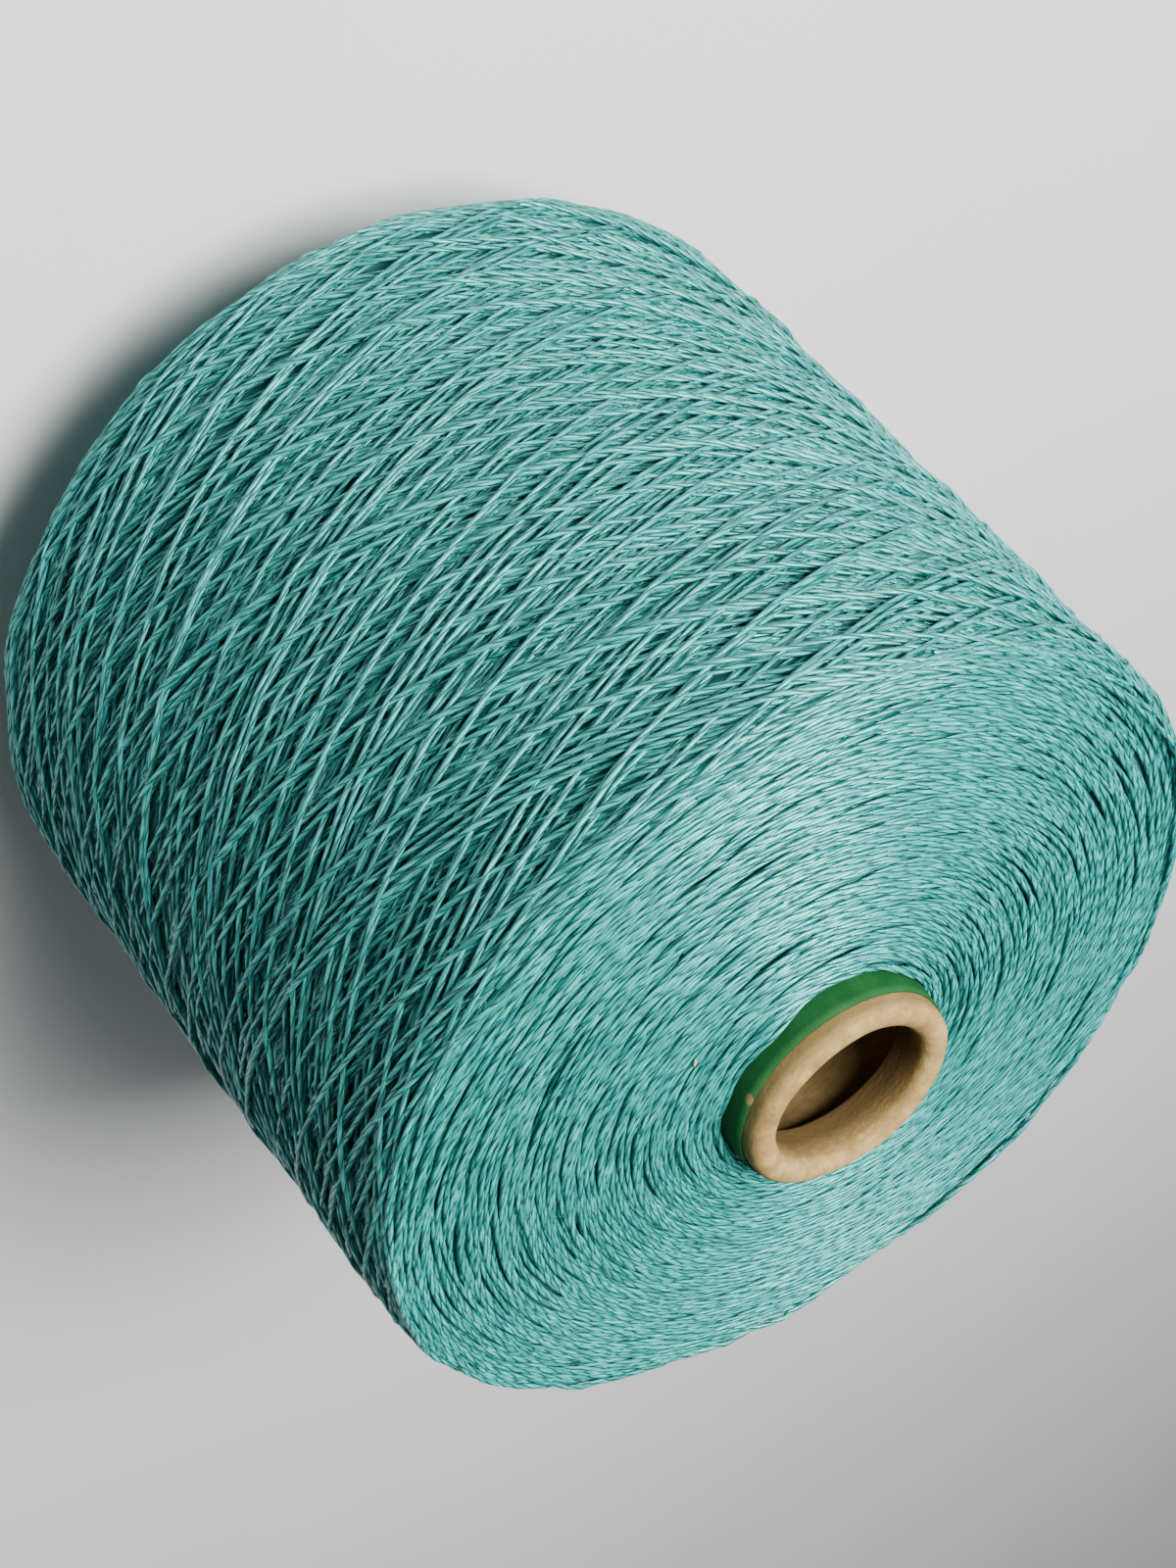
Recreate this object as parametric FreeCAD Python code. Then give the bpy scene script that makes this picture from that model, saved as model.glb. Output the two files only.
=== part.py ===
"""Yarn cone: a cross-wound package of two-ply yarn on a tapered paper cone, standing on the cone's base.

Millimetres, +Z up. The origin is the centre of the cone's base rim, and +Z runs along the axis to the nose.
Every node is a body of revolution about +Z. Each half-section is drawn in the XZ plane, with its outside on the
right of the way round, and is turned once about the axis.
"""

import FreeCAD
import Part
import math
import os

Vector = FreeCAD.Vector

# Paper cone: kraft board wound into a tapered tube, with its nose doubled back inside.
CONE_LENGTH = 170.0
CONE_HALF_ANGLE = 4.0 + 20.0 / 60.0  # degrees, each side of the axis
KRAFT_WALL = 2.4  # square to the slope
LIP_RADIUS = 14.5  # bore of the doubled-back lip
LIP_DEPTH = 9.0  # from the nose plane down to the lip's lower edge
LIP_SLACK = 0.15  # how far the two walls stand apart where the board turns over
LIP_EDGE_ROUND = 0.8
BASE_EDGE_ROUND = 0.4

# Green cover ply glued over the kraft.
COVER_WALL = 0.4
COVER_FOOT = 1.0  # bare kraft above the base plane
COVER_HEAD = 3.6  # bare kraft below the nose plane

# Yarn package. Its inner face lies on the cover ply.
NOSE_CLEARANCE = 6.8  # nose plane down to the yarn at the tube
BASE_CLEARANCE = 14.0  # base plane up to the yarn at the tube
NOSE_FACE_RISE = 5.1  # how far the nose face climbs from its shoulder to the tube
BASE_FACE_RISE = 10.1  # how far the base face drops from its shoulder to the tube
FACE_CROWN = 0.8  # how far a face bulges past the straight line from tube to shoulder
NOSE_SHOULDER_RADIUS = 80.0
BASE_SHOULDER_RADIUS = 88.3
WRAP_LAYER = 4.5  # depth of the open-crossed wraps that were wound last
SHOULDER_ROUND = 3.5  # where the wraps turn back

# Transfer tail: the first turns, bunched on the cone's bare base.
TAIL_START = 4.5  # lower edge above the base plane
TAIL_WIDTH = 4.4
TAIL_HEIGHT = 1.5

OUT = "parts"
SLOPE = math.radians(CONE_HALF_ANGLE)
NOSE_RADIUS = LIP_RADIUS + LIP_SLACK + 2 * KRAFT_WALL  # where the slope would meet the nose plane


def kraft_outside(z):
    """Radius of the kraft's outer surface at height z."""
    return NOSE_RADIUS + (CONE_LENGTH - z) * math.tan(SLOPE)


def kraft_inside(z):
    """Radius of the kraft's inner surface at height z, below the lip."""
    return kraft_outside(z) - KRAFT_WALL / math.cos(SLOPE)


def cover_outside(z):
    """Radius of the cover ply's outer surface at height z."""
    return kraft_outside(z) + COVER_WALL / math.cos(SLOPE)


def line(a, b):
    """Straight edge between two (radius, height) points."""
    return Part.LineSegment(Vector(a[0], 0, a[1]), Vector(b[0], 0, b[1])).toShape()


def arc(a, via, b):
    """Circular edge through three (radius, height) points."""
    return Part.Arc(*(Vector(p[0], 0, p[1]) for p in (a, via, b))).toShape()


def crowned(a, b, crown):
    """Circular edge from a to b whose middle bulges by crown, to the right of the way from a to b."""
    run, rise = b[0] - a[0], b[1] - a[1]
    length = math.hypot(run, rise)
    middle = ((a[0] + b[0]) / 2 + rise / length * crown, (a[1] + b[1]) / 2 - run / length * crown)
    return arc(a, middle, b)


def rounded(before, corner, after, radius):
    """Start, middle and end of the arc that rounds a corner between two straight runs."""
    ways = []
    for end in (before, after):
        reach = math.hypot(end[0] - corner[0], end[1] - corner[1])
        ways.append(((end[0] - corner[0]) / reach, (end[1] - corner[1]) / reach))
    half = math.acos(ways[0][0] * ways[1][0] + ways[0][1] * ways[1][1]) / 2
    set_back = radius / math.tan(half)
    start, end = ((corner[0] + way[0] * set_back, corner[1] + way[1] * set_back) for way in ways)
    inward = (ways[0][0] + ways[1][0], ways[0][1] + ways[1][1])
    share = (radius / math.sin(half) - radius) / math.hypot(*inward)
    return start, (corner[0] + inward[0] * share, corner[1] + inward[1] * share), end


def turned(edges):
    """Solid made by turning a closed half-section once round +Z."""
    face = Part.Face(Part.Wire(edges))
    return face.revolve(Vector(0, 0, 0), Vector(0, 0, 1), 360)


def kraft_cone():
    """Tapered kraft tube whose nose is doubled back inside, ending in a short cylindrical lip."""
    sine, cosine = math.sin(SLOPE), math.cos(SLOPE)
    # the turned-over board is a round that touches the slope, the nose plane and the lip
    roll = (NOSE_RADIUS - LIP_RADIUS) * cosine / (1 + cosine - sine)
    centre = (LIP_RADIUS + roll, CONE_LENGTH - roll)
    roll_start = (centre[0] + roll * cosine, centre[1] + roll * sine)
    roll_end = (LIP_RADIUS, centre[1])
    lip_corner = (LIP_RADIUS, CONE_LENGTH - LIP_DEPTH)
    lip_root = (kraft_inside(CONE_LENGTH - LIP_DEPTH), CONE_LENGTH - LIP_DEPTH)
    lip_round = min(LIP_EDGE_ROUND, (lip_root[0] - LIP_RADIUS) / 2)
    lip_start, lip_middle, lip_end = rounded(roll_end, lip_corner, lip_root, lip_round)
    inner_foot, outer_foot = (kraft_inside(0), 0), (kraft_outside(0), 0)
    foot_start, foot_middle, foot_end = rounded(lip_root, inner_foot, outer_foot, BASE_EDGE_ROUND)
    return turned([
        line(outer_foot, roll_start),
        arc(roll_start, (centre[0], CONE_LENGTH), roll_end),
        line(roll_end, lip_start),
        arc(lip_start, lip_middle, lip_end),
        line(lip_end, lip_root),
        line(lip_root, foot_start),
        arc(foot_start, foot_middle, foot_end),
        line(foot_end, outer_foot),
    ])


def cover_ply():
    """Thin coloured ply over the kraft, from just above the base to just below the turned-over nose."""
    foot, head = COVER_FOOT, CONE_LENGTH - COVER_HEAD
    corners = [(kraft_outside(foot), foot), (cover_outside(foot), foot), (cover_outside(head), head),
               (kraft_outside(head), head)]
    return turned([line(start, end) for start, end in zip(corners, corners[1:] + corners[:1])])


def face_ends(at_nose):
    """One end face's points, as (radius, height): at the tube, under the last wraps, and its sharp shoulder."""
    if at_nose:
        tube_z = CONE_LENGTH - NOSE_CLEARANCE
        shoulder = (NOSE_SHOULDER_RADIUS, tube_z - NOSE_FACE_RISE)
    else:
        tube_z = BASE_CLEARANCE
        shoulder = (BASE_SHOULDER_RADIUS, tube_z + BASE_FACE_RISE)
    tube = (cover_outside(tube_z), tube_z)
    share = WRAP_LAYER / (shoulder[0] - tube[0])
    under_wraps = (shoulder[0] - WRAP_LAYER, shoulder[1] + (tube[1] - shoulder[1]) * share)
    return tube, under_wraps, shoulder


def yarn_body():
    """The compact winding, from the cover ply out to the last wraps."""
    base_tube, base_edge, _ = face_ends(at_nose=False)
    nose_tube, nose_edge, _ = face_ends(at_nose=True)
    return turned([
        crowned(base_tube, base_edge, FACE_CROWN),
        line(base_edge, nose_edge),
        crowned(nose_edge, nose_tube, FACE_CROWN),
        line(nose_tube, base_tube),
    ])


def outer_wraps():
    """The open-crossed wraps wound last: a sleeve whose rounded ends are where the yarn turns back."""
    _, base_edge, base_shoulder = face_ends(at_nose=False)
    _, nose_edge, nose_shoulder = face_ends(at_nose=True)
    base_start, base_middle, base_end = rounded(base_edge, base_shoulder, nose_shoulder, SHOULDER_ROUND)
    nose_start, nose_middle, nose_end = rounded(base_shoulder, nose_shoulder, nose_edge, SHOULDER_ROUND)
    return turned([
        line(base_edge, base_start),
        arc(base_start, base_middle, base_end),
        line(base_end, nose_start),
        arc(nose_start, nose_middle, nose_end),
        line(nose_end, nose_edge),
        line(nose_edge, base_edge),
    ])


def transfer_tail():
    """Bunch of the yarn's first turns round the bare base of the cone."""
    low = (cover_outside(TAIL_START), TAIL_START)
    high = (cover_outside(TAIL_START + TAIL_WIDTH), TAIL_START + TAIL_WIDTH)
    return turned([crowned(low, high, TAIL_HEIGHT), line(high, low)])


NODES = {
    "kraft_cone": kraft_cone,
    "cover_ply": cover_ply,
    "yarn_body": yarn_body,
    "outer_wraps": outer_wraps,
    "transfer_tail": transfer_tail,
}


def main():
    """Build each node, test that it is one valid solid, and write its STEP file."""
    os.makedirs(OUT, exist_ok=True)
    for name, make in NODES.items():
        solid = make()
        if solid.ShapeType != "Solid" or not solid.isValid():
            raise ValueError(name + " is not one valid solid")
        solid.exportStep(os.path.join(OUT, name + ".step"))
        box = solid.optimalBoundingBox()
        print(f"{name:14s} {solid.Volume / 1000:8.2f} cm3, radius {box.XMax:5.2f}, {box.ZMin:6.2f} to {box.ZMax:6.2f}")


main()
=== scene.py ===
"""Looks of a yarn cone: two-ply yarn cross-wound on a turned-in paper cone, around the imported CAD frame.

Metres, +Z up. The cone stands on its base, and the camera looks down on its nose. The yarn on the side is
laid turn by turn, each turn pulled taut over the turns below it. The ends of the package show the turning
points of the buried turns.
"""

from __future__ import annotations

import logging
import math
from collections.abc import Mapping, Sequence
from dataclasses import dataclass, field
from enum import Enum
from typing import Any

import bpy
import numpy as np
from mathutils import Matrix, Vector


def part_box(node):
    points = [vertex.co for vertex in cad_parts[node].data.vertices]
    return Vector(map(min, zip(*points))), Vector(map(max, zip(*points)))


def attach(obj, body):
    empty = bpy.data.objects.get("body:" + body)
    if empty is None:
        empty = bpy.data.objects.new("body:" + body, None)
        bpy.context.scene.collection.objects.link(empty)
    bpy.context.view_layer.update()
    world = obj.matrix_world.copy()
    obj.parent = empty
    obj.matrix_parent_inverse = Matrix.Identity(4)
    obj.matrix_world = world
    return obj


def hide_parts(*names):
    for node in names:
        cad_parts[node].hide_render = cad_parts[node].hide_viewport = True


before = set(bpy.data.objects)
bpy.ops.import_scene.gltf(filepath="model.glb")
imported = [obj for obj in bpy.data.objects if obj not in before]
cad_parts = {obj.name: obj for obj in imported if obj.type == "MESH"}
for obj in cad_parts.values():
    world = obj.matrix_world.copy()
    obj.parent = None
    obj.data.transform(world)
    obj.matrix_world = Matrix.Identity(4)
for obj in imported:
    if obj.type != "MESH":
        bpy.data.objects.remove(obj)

log = logging.getLogger("yarn_cone")

MM = 0.001
TURN = 2 * math.pi
STRAND_MAP = "strand"
BAKE_MAP = "OFBake"
ALONG = "along"
AROUND = "around"
GIRTH = "girth"

Colour = tuple[float, float, float]
Place = tuple[float, float, float]
Outline = list[tuple[float, float]]


class End(Enum):
    """The two ends of the package."""

    NOSE = "nose"
    BASE = "base"


# ------------------------------------------------------------------------------------- shader maths


class Signal:
    """A number coming out of a shader node, on which sums can be written."""

    def __init__(self, bench: ShaderBench, socket: bpy.types.NodeSocket) -> None:
        """Keep the bench that adds nodes and the socket that the number comes from."""
        self.bench = bench
        self.socket = socket

    def _math(self, operation: str, first: Any, second: Any) -> Signal:
        """One Math node on two numbers or signals."""
        return self.bench.make("ShaderNodeMath", {"operation": operation}, {0: first, 1: second})

    def __add__(self, other: Any) -> Signal:
        """Sum."""
        return self._math("ADD", self, other)

    __radd__ = __add__

    def __sub__(self, other: Any) -> Signal:
        """Difference."""
        return self._math("SUBTRACT", self, other)

    def __rsub__(self, other: Any) -> Signal:
        """Difference with the signal on the right."""
        return self._math("SUBTRACT", other, self)

    def __mul__(self, other: Any) -> Signal:
        """Product."""
        return self._math("MULTIPLY", self, other)

    __rmul__ = __mul__

    def __truediv__(self, other: Any) -> Signal:
        """Quotient."""
        return self._math("DIVIDE", self, other)

    def __pow__(self, other: Any) -> Signal:
        """Power."""
        return self._math("POWER", self, other)

    def __abs__(self) -> Signal:
        """Size without sign."""
        return self._math("ABSOLUTE", self, 0.0)

    def cosine(self) -> Signal:
        """Cosine of the signal in radians."""
        return self._math("COSINE", self, 0.0)

    def sine(self) -> Signal:
        """Sine of the signal in radians."""
        return self._math("SINE", self, 0.0)

    def circle(self, size: float) -> tuple[Signal, Signal]:
        """Two numbers that come back to themselves when the signal has gone once round."""
        return self.cosine() * size, self.sine() * size

    def clamped(self, low: float, high: float) -> Signal:
        """The signal's place between low and high, held to 0 and 1."""
        return self.bench.make(
            "ShaderNodeMapRange", {"clamp": True}, {"Value": self, "From Min": low, "From Max": high}
        )


class ShaderBench:
    """Builds one material's node tree."""

    def __init__(self, name: str) -> None:
        """Start an empty material.

        Args:
            name: The material's name.
        """
        self.material = bpy.data.materials.new(name)
        self.material.use_nodes = True
        self.tree = self.material.node_tree
        self.tree.nodes.clear()

    def make(
        self,
        kind: str,
        settings: Mapping[str, Any],
        sockets: Mapping[Any, Any],
        output: Any = 0,
    ) -> Signal:
        """Add one node.

        Args:
            kind: The node's type.
            settings: Properties set first; "stops" gives a ramp's positions and colours.
            sockets: Values or signals by input name or number.
            output: Name or number of the output that is wanted.

        Returns:
            The wanted output as a signal.
        """
        node = self.tree.nodes.new(kind)
        for key, value in settings.items():
            if key == "stops":
                self._set_stops(node.color_ramp, value)
            else:
                setattr(node, key, value)
        for key, value in sockets.items():
            if isinstance(value, Signal):
                self.tree.links.new(value.socket, node.inputs[key])
            else:
                node.inputs[key].default_value = value
        return Signal(self, node.outputs[output])

    @staticmethod
    def _set_stops(ramp: bpy.types.ColorRamp, stops: Sequence[tuple[float, Colour]]) -> None:
        """Give a colour ramp its stops.

        Args:
            ramp: The ramp.
            stops: Position and colour of each stop.
        """
        while len(ramp.elements) < len(stops):
            ramp.elements.new(0.5)
        for element, (position, colour) in zip(ramp.elements, stops):
            element.position = position
            element.color = (*colour, 1.0)

    def ramp(self, signal: Signal, stops: Sequence[tuple[float, Colour]]) -> Signal:
        """Colour read off a ramp by a signal from 0 to 1."""
        return self.make("ShaderNodeValToRGB", {"stops": stops}, {"Fac": signal}, "Color")

    def mix(self, share: Any, first: Any, second: Any) -> Signal:
        """Blend two colours.

        Args:
            share: How much of the second there is, from 0 to 1.
            first: A colour or a signal.
            second: A colour or a signal.

        Returns:
            The blend.
        """
        pick = {"data_type": "RGBA"}
        sockets = {0: share, 6: self._colour(first), 7: self._colour(second)}
        return self.make("ShaderNodeMix", pick, sockets, 2)

    @staticmethod
    def _colour(value: Any) -> Any:
        """A colour with its alpha, or the signal as it is."""
        return value if isinstance(value, Signal) else (*value, 1.0)

    def joined(self, x: Any, y: Any, z: Any) -> Signal:
        """Vector from three numbers."""
        return self.make("ShaderNodeCombineXYZ", {}, {0: x, 1: y, 2: z})

    def noise(self, vector: Signal, scale: float, detail: float = 2.0, roughness: float = 0.5) -> Signal:
        """Smooth noise from 0 to 1 at a place."""
        sockets = {"Vector": vector, "Scale": scale, "Detail": detail, "Roughness": roughness}
        return self.make("ShaderNodeTexNoise", {"noise_dimensions": "3D"}, sockets, "Fac")

    def parts(self, vector: Signal) -> tuple[Signal, ...]:
        """The x, y and z of a vector."""
        x = self.make("ShaderNodeSeparateXYZ", {}, {0: vector})
        return x, *(Signal(self, x.socket.node.outputs[i]) for i in (1, 2))

    def object_place(self) -> Signal:
        """The point on the object."""
        return self.make("ShaderNodeTexCoord", {}, {}, "Object")

    def strand_place(self) -> Signal:
        """The point on the yarn: the way along it in metres, and the way round it from 0 to 1."""
        return self.make("ShaderNodeUVMap", {"uv_map": STRAND_MAP}, {})

    def heading(self, x: Signal, y: Signal) -> Signal:
        """Angle round the axis, in radians."""
        return self.make("ShaderNodeMath", {"operation": "ARCTAN2"}, {0: y, 1: x})

    def finish(
        self, colour: Signal, roughness: Any, height: Signal, relief: float, fixed: Mapping[str, Any]
    ) -> bpy.types.Material:
        """Close the material with one surface shader.

        Args:
            colour: The base colour.
            roughness: A signal or number.
            height: Relief from 0 to 1.
            relief: What a height of 1 stands for, in metres.
            fixed: Sockets with the same value all over.

        Returns:
            The finished material.
        """
        bump = self.make("ShaderNodeBump", {}, {"Strength": 1.0, "Distance": relief, "Height": height})
        sockets = {"Base Color": colour, "Roughness": roughness, "Normal": bump, **fixed}
        surface = self.make("ShaderNodeBsdfPrincipled", {}, sockets)
        output = self.tree.nodes.new("ShaderNodeOutputMaterial")
        self.tree.links.new(surface.socket, output.inputs["Surface"])
        return self.material


# ----------------------------------------------------------------------------------------- finishes


@dataclass(frozen=True)
class YarnFinish:
    """Two-ply heathered yarn: two plies twisted together, each a bundle of pale and deep fibres, with
    painted shade in the grooves between the plies.
    """

    name: str = "teal_yarn"
    deep: Colour = (0.001, 0.042, 0.043)
    middle: Colour = (0.010, 0.186, 0.174)
    pale: Colour = (0.080, 0.575, 0.523)
    tint: Colour = (0.38, 1.0, 0.94)  # of its highlights
    sheen: float = 1.0
    gloss: float = 1.7  # its index of refraction
    roughness: float = 0.42
    ply_pitch: float = 8.6 * MM
    painted_groove_shade: float = 0.55  # share of a ply's half width that the painted shade between plies takes up
    fibres: tuple[float, float] = (330.0, 1.9)  # fineness of the fibres, along the yarn and round it
    patches: tuple[float, float] = (45.0, 0.5)  # and of the longer patches
    heather: float = 2.3  # how much the fibres differ
    mottle: float = 1.2  # how much the patches do
    paleness: float = 0.48  # of the yarn as a whole
    relief: float = 0.36 * MM

    def make(self) -> bpy.types.Material:
        """Build the yarn's material."""
        bench = ShaderBench(self.name)
        along, around, _ = bench.parts(bench.strand_place())
        twist = (around - along / self.ply_pitch) * TURN
        plies = abs(twist.cosine())
        fibre_along, fibre_round = self.fibres
        fibre_place = bench.joined(along * fibre_along, *(around * TURN).circle(fibre_round))
        fibre = bench.noise(fibre_place, 1.0, 3.0, 0.65)
        patch_along, patch_round = self.patches
        patch = bench.noise(bench.joined(along * patch_along, *twist.circle(patch_round)), 1.0, 2.0)
        tone = (fibre - 0.5) * self.heather + (patch - 0.5) * self.mottle + self.paleness
        # painted shade: the grooves between the plies are darkened towards the deep colour
        lit = (tone.clamped(0.0, 1.0) * 0.75 + 0.25) * plies.clamped(0.0, self.painted_groove_shade)
        shade = bench.ramp(lit, ((0.0, self.deep), (0.5, self.middle), (1.0, self.pale)))
        height = plies**0.55 * 0.8 + fibre * 0.2
        fixed = {"Specular IOR Level": self.sheen, "IOR": self.gloss, "Specular Tint": (*self.tint, 1.0)}
        return bench.finish(shade, (1 - fibre * 0.3) * self.roughness, height, self.relief, fixed)


@dataclass(frozen=True)
class BuriedYarnFinish:
    """The shaded yarn below the last wraps, seen only through their gaps."""

    name: str = "buried_yarn"
    dark: Colour = (0.006, 0.055, 0.056)
    light: Colour = (0.035, 0.190, 0.185)
    streaks_round: float = 6.0  # fineness of its streaks, round the package
    streaks_across: float = 900.0  # and across the turns
    relief: float = 0.5 * MM

    def make(self) -> bpy.types.Material:
        """Build the buried yarn's material."""
        bench = ShaderBench(self.name)
        x, y, z = bench.parts(bench.object_place())
        radius = (x * x + y * y) ** 0.5
        circle = bench.heading(x, y).circle(self.streaks_round)
        streak = bench.noise(bench.joined(*circle, (z + radius) * self.streaks_across), 1.0, 2.0)
        colour = bench.mix(streak.clamped(0.35, 0.7), self.dark, self.light)
        return bench.finish(colour, 0.8, streak, self.relief, {"Specular IOR Level": 0.2})


@dataclass(frozen=True)
class KraftFinish:
    """Tan kraft board: long pale fibres and brown specks, with painted shade on the outside below the rim
    and down the bore.
    """

    tip: float  # height of the rim
    tip_radius: float  # of the board's outside there
    slope: float
    name: str = "kraft_board"
    # dark end of the board's fibre tone, also the colour of the painted shade on the outside below the rim
    shade: Colour = (0.140, 0.085, 0.027)
    board: Colour = (0.290, 0.186, 0.067)
    light: Colour = (0.480, 0.345, 0.150)
    speck: Colour = (0.140, 0.085, 0.035)
    # painted shade: the colour that the bore darkens towards with depth
    inside: Colour = (0.062, 0.038, 0.010)
    fibres_round: float = 9.0  # fineness of the fibres, round the cone
    fibres_across: float = 1400.0  # and along its axis
    clouds: float = 190.0
    flecks: float = 1500.0
    collar: tuple[float, float] = (0.3 * MM, 2.2 * MM)  # depth below the rim over which painted shade darkens the outside
    painted_bore_shade: tuple[float, float] = (0.8 * MM, 5.6 * MM)  # and over which painted shade darkens the bore
    bore_wall: float = 2.0 * MM  # how far in from the outside the bore's painted shade starts
    bore_blend: float = 0.6 * MM
    outer_wall: float = 1.5 * MM  # how far in from it the collar's painted shade starts
    outer_blend: float = 1.2 * MM
    roughness: float = 0.88
    relief: float = 0.22 * MM

    def make(self) -> bpy.types.Material:
        """Build the board's material."""
        bench = ShaderBench(self.name)
        place = bench.object_place()
        x, y, z = bench.parts(place)
        fibre_place = bench.joined(*bench.heading(x, y).circle(self.fibres_round), z * self.fibres_across)
        fibre = bench.noise(fibre_place, 1.0, 4.0, 0.6)
        cloud = bench.noise(place, self.clouds, 3.0)
        fleck = bench.noise(place, self.flecks, 2.0, 0.7)
        tone = (fibre - 0.5) * 0.9 + (cloud - 0.5) * 1.0 + 0.5
        stops = ((0.0, self.shade), (0.5, self.board), (1.0, self.light))
        colour = bench.ramp(tone.clamped(0.0, 1.0), stops)
        colour = bench.mix(fleck.clamped(0.66, 0.76) * 0.55, colour, self.speck)
        radius = (x * x + y * y) ** 0.5
        below = self.tip - z
        inner = self.tip_radius - self.bore_wall + below * self.slope - radius
        outer = radius - self.tip_radius - below * self.slope + self.outer_wall
        # painted shade: the outside darkens just below the rim, towards the dark board colour
        collar = below.clamped(*self.collar) * outer.clamped(0.0, self.outer_blend)
        colour = bench.mix(collar * 0.6, colour, self.shade)
        # painted shade: the bore darkens with depth below the rim
        painted_bore_shade = below.clamped(*self.painted_bore_shade) * inner.clamped(0.0, self.bore_blend)
        colour = bench.mix(painted_bore_shade * 0.94, colour, self.inside)
        height = fibre * 0.5 + fleck * 0.25 + cloud * 0.25
        return bench.finish(colour, self.roughness, height, self.relief, {"Specular IOR Level": 0.2})


@dataclass(frozen=True)
class CoverPaperFinish:
    """Printed green paper, rubbed paler here and there, with one spot worn through to the board."""

    name: str = "green_paper"
    ink: Colour = (0.003, 0.055, 0.010)
    worn: Colour = (0.014, 0.100, 0.025)
    bare: Colour = (0.150, 0.105, 0.042)
    bare_spot: Place = (12.55 * MM, -15.78 * MM, 165.9 * MM)
    bare_size: float = 1.1 * MM
    grains: float = 2400.0
    clouds: float = 160.0
    frays: float = 900.0  # fineness of the worn spot's edge
    relief: float = 0.05 * MM

    def make(self) -> bpy.types.Material:
        """Build the paper's material."""
        bench = ShaderBench(self.name)
        place = bench.object_place()
        grain = bench.noise(place, self.grains, 3.0, 0.6)
        cloud = bench.noise(place, self.clouds, 3.0, 0.6)
        rubbed = (cloud * 0.7 + grain * 0.3).clamped(0.42, 0.72)
        colour = bench.mix(rubbed * 0.6, self.ink, self.worn)
        ends = {0: place, 1: self.bare_spot}
        off = bench.make("ShaderNodeVectorMath", {"operation": "DISTANCE"}, ends, "Value")
        fray = bench.noise(place, self.frays, 2.0)
        torn = 1 - (off + (fray - 0.5) * self.bare_size).clamped(0.5 * self.bare_size, self.bare_size)
        colour = bench.mix(torn, colour, self.bare)
        return bench.finish(colour, grain * 0.2 + 0.62, grain, self.relief, {"Specular IOR Level": 0.2})


@dataclass(frozen=True)
class PlainFinish:
    """A pale, slightly mottled matt surface, for the floor and for small specks."""

    name: str
    first: Colour
    second: Colour
    scale: float
    relief: float

    def make(self) -> bpy.types.Material:
        """Build the matt material."""
        bench = ShaderBench(self.name)
        cloud = bench.noise(bench.object_place(), self.scale, 3.0)
        return bench.finish(bench.mix(cloud, self.first, self.second), 0.8, cloud, self.relief, {})


# ------------------------------------------------------------------------------------- mesh benches


def mesh_object(
    name: str, points: np.ndarray, faces: np.ndarray, material: bpy.types.Material
) -> bpy.types.Object:
    """Make a smooth-shaded object from points and four-sided faces.

    Args:
        name: The object's name.
        points: Vertex places, one row each.
        faces: Vertex numbers, four a row.
        material: The finish.

    Returns:
        The object, linked to the scene.
    """
    mesh = bpy.data.meshes.new(name)
    mesh.from_pydata(points.tolist(), [], faces.tolist())
    mesh.polygons.foreach_set("use_smooth", np.ones(len(faces), dtype=bool))
    mesh.materials.append(material)
    mesh.update()
    piece = bpy.data.objects.new(name, mesh)
    bpy.context.collection.objects.link(piece)
    return piece


def turned_faces(rings: int, around: int) -> np.ndarray:
    """Faces of a closed outline turned once round.

    Args:
        rings: Points in the outline.
        around: Steps in the turn.

    Returns:
        Vertex numbers, four a row, facing outwards when the outline runs anticlockwise.
    """
    ring, step = np.meshgrid(np.arange(rings), np.arange(around), indexing="ij")
    next_ring, next_step = (ring + 1) % rings, (step + 1) % around
    corners = (ring * around + step, ring * around + next_step, next_ring * around + next_step,
               next_ring * around + step)
    return np.stack(corners, axis=-1).reshape(-1, 4)


def arc_points(centre: tuple[float, float], radius: float, start: float, end: float, steps: int) -> Outline:
    """Points on a circle in the half-section, from one angle in degrees to another."""
    angles = np.radians(np.linspace(start, end, steps))
    return [(centre[0] + radius * math.cos(a), centre[1] + radius * math.sin(a)) for a in angles]


def divided(outline: Outline, step: float) -> np.ndarray:
    """Divide the sides of a closed outline.

    Args:
        outline: Its corners.
        step: The longest side wanted.

    Returns:
        Its points, one row each.
    """
    points = np.array(outline)
    pieces = []
    for start, end in zip(points, np.roll(points, -1, axis=0)):
        count = max(1, math.ceil(float(np.hypot(*(end - start))) / step))
        pieces.append(start + (end - start) * np.linspace(0, 1, count, endpoint=False)[:, None])
    return np.concatenate(pieces)


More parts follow.
